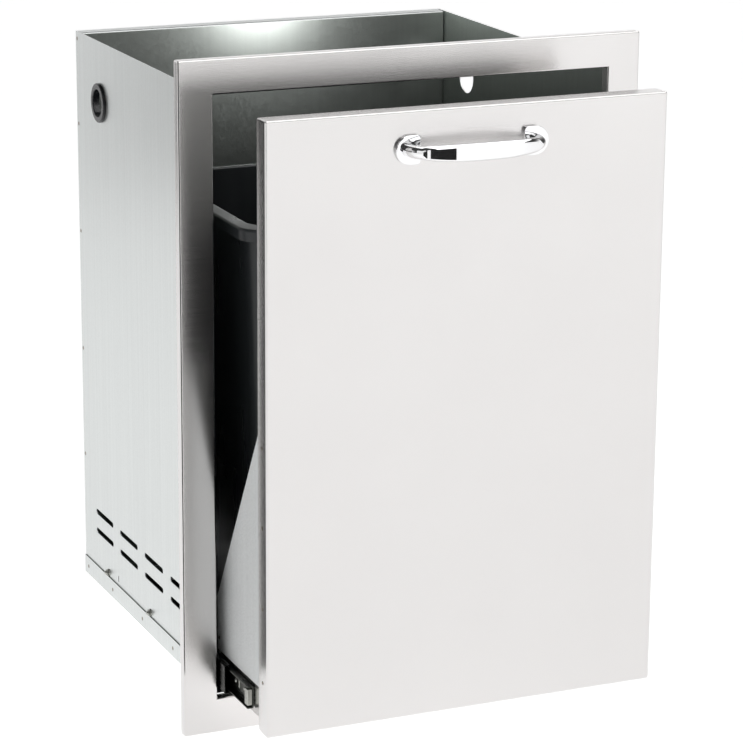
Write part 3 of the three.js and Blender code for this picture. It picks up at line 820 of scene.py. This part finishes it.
class WASTE_OT_slides(bpy.types.Operator):
    """Builds the telescopic slides with their cages, balls and end stops"""

    bl_idname = "waste_drawer.slides"
    bl_label = "Ball slides"

    def execute(self, context):
        settings = context.scene.waste_drawer
        for side, sign in SIDES:
            # painted shade: the outer and inner members take the darkened slide steel, the middle members
            # a darker copy still
            for member, body, finish, lip, gauge, short in (
                ("outer", "cabinet", "slide", 3 * MM, 1.2 * MM, 0),
                ("middle", "slide_middle_" + side, "slide_deep_shade", 2.2 * MM, 1.0 * MM, 0),
                ("inner", "drawer", "slide", 0, 1.2 * MM, settings.slides.set_back),
            ):
                node = f"slide_{member}_{side}"
                add_piece(
                    channel(node, lip, 1.6 * MM, short),
                    node + "_strip",
                    finish,
                    body,
                    [node],
                    gauge,
                    settings.sheet.edge,
                )
            self.cage(side, "outer", settings.slides.outer_ball, settings)
            self.cage(side, "inner", settings.slides.inner_ball, settings)
            self.end_stop(side, sign, settings)
        return {"FINISHED"}

    def cage(self, side, race, radius, settings):
        """The pressed cage with a ball in each of its pockets."""
        node = f"ball_cage_{race}_{side}"
        low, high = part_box(node)
        strip = channel(node, 0, 0.5 * MM)
        add_piece(strip, node + "_strip", "zinc", node, [node], 0.6 * MM)
        bm = bmesh.new()
        middle = (low + high) / 2
        count = int((high.y - low.y) / settings.slides.ball_pitch)
        first = middle.y - (count - 1) / 2 * settings.slides.ball_pitch
        for i in range(count):
            for z in (low.z + 0.3 * MM, high.z - 0.3 * MM):
                place = Matrix.Translation((middle.x, first + i * settings.slides.ball_pitch, z))
                bmesh.ops.create_uvsphere(bm, u_segments=10, v_segments=7, radius=radius, matrix=place)
        add_piece(bm, node + "_balls", "balls", node, sharp=180)

    def end_stop(self, side, sign, settings):
        """The folded stop at the inner member's front end, and the pressings in its web."""
        low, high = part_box("slide_inner_" + side)
        low.y += settings.slides.set_back
        web = low.x if sign > 0 else high.x
        bm = bmesh.new()
        margin = 3.2 * MM
        near, far = sorted((web + sign * 1.3 * MM, web + sign * 6.9 * MM))
        block(
            bm,
            (near, low.y + 0.4 * MM, low.z + margin),
            (far, low.y + settings.slides.stop_length, high.z - margin),
        )
        round_edges(bm, bm.edges[:], 0.9 * MM, 3)
        face = web + sign * 1.2 * MM
        middle = (low.z + high.z) / 2 + 1 * MM
        for y in (48 * MM, 22 * MM):
            disc(bm, 2.4 * MM, (face, low.y + y, middle), (sign, 0, 0), 1.0 * MM, 20, 0.9 * MM)
        near, far = sorted((face, face + sign * 0.9 * MM))
        verts = block(
            bm, (near, low.y + 35 * MM, middle - 4 * MM), (far, low.y + 38 * MM, middle + 4 * MM)
        )
        round_edges(bm, {e for v in verts for e in v.link_edges}, 0.7 * MM, 2)
        add_piece(bm, f"slide_stop_{side}", "zinc", "drawer")


class WASTE_OT_drawer_front(bpy.types.Operator):
    """Builds the drawer front's skin and its lining pan"""

    bl_idname = "waste_drawer.drawer_front"
    bl_label = "Drawer front"

    def execute(self, context):
        sizes = context.scene.waste_drawer.sheet
        low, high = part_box("drawer_front_skin")
        edge_of_skin = low.y + sizes.skin_return
        skin = shell(low, (high.x, edge_of_skin, high.z), ["+Y"])
        round_edges(skin, folds(skin), sizes.bend)
        add_piece(
            skin,
            "drawer_skin_sheet",
            "front",
            "drawer",
            ["drawer_front_skin"],
            sizes.stainless,
            sizes.edge,
        )
        # the lining pan stands a little inside the skin, with a thin seam between them
        seam = 0.5 * MM
        inset = Vector((0.35 * MM, 0, 0.35 * MM))
        start = Vector((low.x, edge_of_skin + seam, low.z)) + inset
        pan = shell(start, high - inset, ["-Y"])
        round_edges(pan, folds(pan), sizes.bend)
        add_piece(
            pan,
            "drawer_liner_sheet",
            "front",
            "drawer",
            ["drawer_front_liner"],
            sizes.galvanised,
            sizes.edge,
        )
        return {"FINISHED"}


class WASTE_OT_tray(bpy.types.Operator):
    """Builds the tray, its gussets and the bin stop"""

    bl_idname = "waste_drawer.tray"
    bl_label = "Tray and gussets"

    def execute(self, context):
        sizes = context.scene.waste_drawer.sheet
        low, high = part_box("drawer_tray")
        pan = shell(low, high, ["+Z"])
        geom = pan.verts[:] + pan.edges[:] + pan.faces[:]
        end_top = low.z + sizes.tray_end
        bmesh.ops.bisect_plane(pan, geom=geom, plane_co=(0, 0, end_top), plane_no=AXES["+Z"])
        pan.normal_update()
        ends = [f for f in pan.faces if abs(f.normal.y) > 0.9 and f.calc_center_median().z > end_top]
        bmesh.ops.delete(pan, geom=ends, context="FACES")
        round_edges(pan, folds(pan), sizes.bend)
        add_piece(
            pan,
            "drawer_tray_sheet",
            "pan",
            "drawer",
            ["drawer_tray"],
            sizes.stainless,
            sizes.edge,
        )
        for side, sign in SIDES:
            node = "gusset_" + side
            add_piece(
                self.gusset(node, sign, sizes),
                node + "_sheet",
                "galvanneal",
                "drawer",
                [node],
                sizes.stainless,
                sizes.edge,
            )
        stop = node_copy("bin_stop")
        round_edges(stop, folds(stop), 0.3 * MM, 2)
        add_piece(stop, "bin_stop_angle", "galvanised", "drawer", ["bin_stop"])
        return {"FINISHED"}

    def gusset(self, node, sign, sizes):
        """A sloping web whose front edge is folded in against the liner."""
        low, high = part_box(node)
        outer = high.x if sign > 0 else low.x
        inner = low.x if sign > 0 else high.x
        heel = 59 * MM
        drop = 4 * MM
        points = [
            (low.y, low.z),
            (high.y, low.z),
            (high.y, low.z + heel),
            (low.y + drop, high.z),
            (low.y, high.z),
        ]
        bm = bmesh.new()
        line = [bm.verts.new((outer, y, z)) for y, z in points]
        web = bm.faces.new(line)
        bm.edges.ensure_lookup_table()
        front = next(e for e in web.edges if all(abs(v.co.y - low.y) < 1e-6 for v in e.verts))
        flange, _ = grow(bm, [front])
        tray_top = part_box("drawer_tray")[1].z + 0.3 * MM
        for v in flange:
            v.co.x = inner
            v.co.z = max(tray_top, v.co.z) if v.co.z < high.z - drop else high.z - drop
        face_towards(bm, AXES["+X"] * sign)
        round_edges(bm, folds(bm), sizes.bend)
        return bm


class WASTE_OT_handle(bpy.types.Operator):
    """Builds the chrome bow handle and its rosettes"""

    bl_idname = "waste_drawer.handle"
    bl_label = "Bow handle"

    def execute(self, context):
        sizes = context.scene.waste_drawer.handle
        add_piece(handle_bar(sizes), "handle_bow", "chrome", "drawer", ["handle_bar"], sharp=30)
        for side, _ in SIDES:
            node = "handle_rosette_" + side
            plate = node_copy(node)
            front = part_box(node)[0].y
            rim = [e for e in folds(plate, 60) if all(abs(v.co.y - front) < 1e-6 for v in e.verts)]
            round_edges(plate, rim, 0.9 * MM, 5)
            add_piece(plate, node + "_plate", "chrome", "drawer", [node], sharp=30)
        return {"FINISHED"}


class WASTE_OT_bin(bpy.types.Operator):
    """Builds the moulded waste bin"""

    bl_idname = "waste_drawer.bin"
    bl_label = "Waste bin"

    def execute(self, context):
        sizes = context.scene.waste_drawer.bin
        add_piece(
            bin_body(sizes),
            "waste_bin_moulding",
            "plastic",
            "bin",
            ["waste_bin"],
            sizes.wall,
            edge=0.4 * MM,
            sharp=40,
        )
        return {"FINISHED"}


class WASTE_OT_fasteners(bpy.types.Operator):
    """Builds the slide bolts, screws and spot welds"""

    bl_idname = "waste_drawer.fasteners"
    bl_label = "Fasteners and welds"

    def execute(self, context):
        for side, sign in SIDES:
            for place in ("front", "middle", "rear"):
                node = f"slide_bolt_{side}_{place}"
                self.nut(node, sign)
            for place in ("front", "rear"):
                self.soften(f"tray_screw_{side}_{place}")
            self.soften("handle_screw_" + side)
            self.welds(side, sign)
        return {"FINISHED"}

    def nut(self, node, sign):
        """A flanged hexagon nut on the bolt's end."""
        low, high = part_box(node)
        centre = (low + high) / 2
        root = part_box("left_wall")[0].x if sign < 0 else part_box("right_wall")[1].x
        axis = (sign, 0, 0)
        bm = bmesh.new()
        disc(bm, 4.4 * MM, (root + sign * 0.05 * MM, centre.y, centre.z), axis, 0.8 * MM, 24, 0.3 * MM)
        hexagon = disc(bm, 3.5 * MM, (root + sign * 0.8 * MM, centre.y, centre.z), axis, 2.5 * MM, 6)
        bm.normal_update()
        around = {e for v in hexagon for e in v.link_edges}
        tops = {e for e in around if all(abs(v.co.x - root) > 3 * MM for v in e.verts)}
        round_edges(bm, tops, 0.4 * MM, 2)
        disc(bm, 2.0 * MM, (root + sign * 3.2 * MM, centre.y, centre.z), axis, 1.6 * MM, 16, 0.5 * MM)
        add_piece(bm, node + "_nut", "zinc", "cabinet", [node])

    def soften(self, node):
        """A CAD fastener with its edges eased."""
        bm = node_copy(node)
        round_edges(bm, folds(bm, 50), 0.3 * MM, 2)
        add_piece(bm, node + "_eased", "zinc", "drawer", [node])

    def welds(self, side, sign):
        """Shallow dimples where the sheets are joined."""

        def outside(node):
            low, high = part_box(node)
            return low.x if sign < 0 else high.x

        base, wall = outside("base_pan"), outside(side + "_wall")
        skin, gusset = outside("drawer_front_skin"), outside("gusset_" + side)
        skin_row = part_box("drawer_front_skin")[0].y + 11 * MM
        rows = {
            "cabinet": [(base, y * MM, 43 * MM) for y in (400, 314, 212.5, 114)]
            + [(wall, 408 * MM, z * MM) for z in (655, 560, 438, 302, 177)],
            "drawer": [(skin, skin_row, z * MM) for z in (336.6, 254.5, 170.4, 92.8)]
            + [(gusset, 12 * MM, 89 * MM)],
        }
        for body, places in rows.items():
            bm = bmesh.new()
            for place in places:
                disc(bm, 2.2 * MM, place, (sign, 0, 0), 0.25 * MM, 16, 0.5 * MM)
            add_piece(bm, f"spot_welds_{body}_{side}", "weld", body)


class WASTE_OT_stage(bpy.types.Operator):
    """Builds the floor, the studio light and the camera"""

    bl_idname = "waste_drawer.stage"
    bl_label = "Stage"

    def execute(self, context):
        scene = context.scene
        settings = scene.waste_drawer.stage
        low, high = cad_box
        # the floor lies just under the drawer, and gives off light as a lit table does
        floor = (0, 0, low.z - 0.4 * MM)
        self.card("studio_floor", self.lit_paint("Lit studio floor"), floor, (0, 0, 1), 28, 28, True)
        # three small flags, out of sight, draw the dark shapes in the left wall, in the handle's
        # facet and down the drawer front's folded edge
        flag_cloth = start_material("Black flag cloth", linear("#060606"), 0.0, 0.9)[0]
        self.card("wall_flag", flag_cloth, (-0.95, 1.5, 0.38), (0, -1, 0), 0.4, 0.3)
        self.card("handle_flag", flag_cloth, (-0.37, -1.68, 0.31), (0, 1, 0), 1.05, 0.14)
        self.card("return_flag", flag_cloth, (-0.305, -0.02, 0.385), (0, -1, 0), 0.1, 0.65)
        # a lit card overhead, out of sight too, is what the top of the chrome bar mirrors
        overhead = self.lit_paint("Lit card")
        self.card("overhead_card", overhead, (0.3, -0.3, 1.35), (0, 0, -1), 1.0, 1.3)
        self.surround(scene, settings)
        middle = (low + high) / 2
        back_panel = Vector((-0.02, 0.41, 0.63))
        for name, place, aim, width, height, power in (
            ("overhead_softbox", (0.8, -2.1, 2.9), middle, 2.6, 2.6, settings.key),
            ("side_softbox", (-2.2, -1.5, 2.0), middle, 1.8, 1.8, settings.fill),
            ("front_softbox", (2.3, -4.3, 0.9), middle, 3.2, 2.24, settings.front),
            ("panel_light", (0.06, 0.2, 0.67), back_panel, 0.07, 0.07, settings.panel),
        ):
            light = bpy.data.lights.new(name, "AREA")
            light.shape = "RECTANGLE"
            light.size = width
            light.size_y = height
            light.energy = power
            lamp = bpy.data.objects.new(name, light)
            lamp.location = place
            lamp.rotation_euler = (Vector(place) - aim).to_track_quat("Z", "Y").to_euler()
            scene.collection.objects.link(lamp)
        self.camera(scene)
        scene.view_settings.view_transform = "Standard"
        return {"FINISHED"}

    def lit_paint(self, name):
        """White paint that gives off light of its own, as a lit panel does."""
        settings = bpy.context.scene.waste_drawer.stage
        paint, _, shader, _ = start_material(name, settings.floor, 0.0, 0.6)
        shader.inputs["Emission Color"].default_value = (1, 1, 1, 1)
        shader.inputs["Emission Strength"].default_value = settings.glow
        return paint

    def card(self, name, material, place, facing, width, height, shown=False):
        """A flat card at a place, facing a direction. Unless shown, only reflections see it."""
        bm = bmesh.new()
        turn = Vector(facing).to_track_quat("Z", "Y").to_matrix().to_4x4()
        verts = bmesh.ops.create_grid(bm, x_segments=1, y_segments=1, size=0.5)["verts"]
        bmesh.ops.scale(bm, verts=verts, vec=(width, height, 1))
        bmesh.ops.transform(bm, matrix=Matrix.Translation(Vector(place)) @ turn, verts=verts)
        mesh = bpy.data.meshes.new(name)
        bm.to_mesh(mesh)
        bm.free()
        mesh.materials.append(material)
        card = bpy.data.objects.new(name, mesh)
        card.visible_camera = shown
        card.visible_shadow = shown
        card.visible_diffuse = shown
        bpy.context.scene.collection.objects.link(card)

    def surround(self, scene, settings):
        """A white backdrop behind the drawer, and a dim studio overhead and in front."""
        world = bpy.data.worlds.new("Soft surround")
        scene.world = world
        world.use_nodes = True
        tree = world.node_tree
        tree.nodes.clear()
        way = add_node(tree, "ShaderNodeTexCoord").outputs["Generated"]
        parts = add_node(tree, "ShaderNodeSeparateXYZ", {"Vector": way}).outputs
        low = add_node(
            tree,
            "ShaderNodeMapRange",
            {"Value": parts["Z"], "From Min": 0.36, "From Max": 0.6, "To Min": 1.0, "To Max": 0.0},
            interpolation_type="SMOOTHSTEP",
        ).outputs[0]
        behind = add_node(
            tree,
            "ShaderNodeMapRange",
            {"Value": parts["Y"], "From Min": -0.2, "From Max": 0.3, "To Min": 0.0, "To Max": 1.0},
            interpolation_type="SMOOTHSTEP",
        ).outputs[0]
        backdrop = add_node(tree, "ShaderNodeMath", {0: low, 1: behind}, operation="MULTIPLY").outputs[0]
        brightness = add_node(
            tree,
            "ShaderNodeMapRange",
            {"Value": backdrop, "To Min": settings.zenith, "To Max": settings.horizon},
        ).outputs[0]
        glow = add_node(tree, "ShaderNodeBackground", {"Color": (1, 1, 1, 1), "Strength": brightness})
        add_node(tree, "ShaderNodeOutputWorld", {"Surface": glow.outputs[0]})

    def camera(self, scene):
        """A long lens from the front left, a little above the drawer's top."""
        azimuth, elevation, roll = (math.radians(a) for a in (-23.488, 15.663, 0.378))
        target = Vector((-0.0464, -0.012, 0.3649))
        away = 3.0903
        level = Vector((math.sin(azimuth), -math.cos(azimuth), 0))
        back = level * math.cos(elevation) + Vector((0, 0, math.sin(elevation)))
        right = Vector((math.cos(azimuth), math.sin(azimuth), 0))
        up = back.cross(right)
        across = right * math.cos(roll) + up * math.sin(roll)
        upward = up * math.cos(roll) - right * math.sin(roll)
        data = bpy.data.cameras.new("camera")
        data.sensor_width = 36
        data.lens = 145.905
        camera = bpy.data.objects.new("camera", data)
        turn = Matrix((across, upward, back)).transposed().to_4x4()
        camera.matrix_world = Matrix.Translation(target + back * away) @ turn
        scene.collection.objects.link(camera)
        scene.camera = camera


BUILD_ORDER = (
    WASTE_OT_face_frame,
    WASTE_OT_cabinet,
    WASTE_OT_hose_bush,
    WASTE_OT_slides,
    WASTE_OT_drawer_front,
    WASTE_OT_tray,
    WASTE_OT_handle,
    WASTE_OT_bin,
    WASTE_OT_fasteners,
    WASTE_OT_stage,
)


class WASTE_PT_panel(bpy.types.Panel):
    """Lists the drawer's pieces and sizes"""

    bl_label = "Waste drawer"
    bl_idname = "WASTE_PT_panel"
    bl_space_type = "VIEW_3D"
    bl_region_type = "UI"
    bl_category = "Waste drawer"

    def draw(self, context):
        settings = context.scene.waste_drawer
        for group in ("sheet", "slides", "handle", "bin", "finishes", "stage"):
            box = self.layout.box()
            box.label(text=group.capitalize())
            values = getattr(settings, group)
            for name in values.bl_rna.properties.keys():
                if name not in {"rna_type", "name"}:
                    box.prop(values, name)
        for operator in BUILD_ORDER:
            self.layout.operator(operator.bl_idname)


CLASSES = (
    SheetSizes,
    SlideSizes,
    HandleSizes,
    BinSizes,
    Finishes,
    StageSettings,
    DrawerSettings,
    *BUILD_ORDER,
    WASTE_PT_panel,
)


def register():
    for cls in CLASSES:
        bpy.utils.register_class(cls)
    bpy.types.Scene.waste_drawer = PointerProperty(type=DrawerSettings)


def unregister():
    del bpy.types.Scene.waste_drawer
    for cls in reversed(CLASSES):
        bpy.utils.unregister_class(cls)


def main():
    register()
    for operator in BUILD_ORDER:
        group, name = operator.bl_idname.split(".")
        getattr(getattr(bpy.ops, group), name)()


if __name__ == "__main__":
    main()
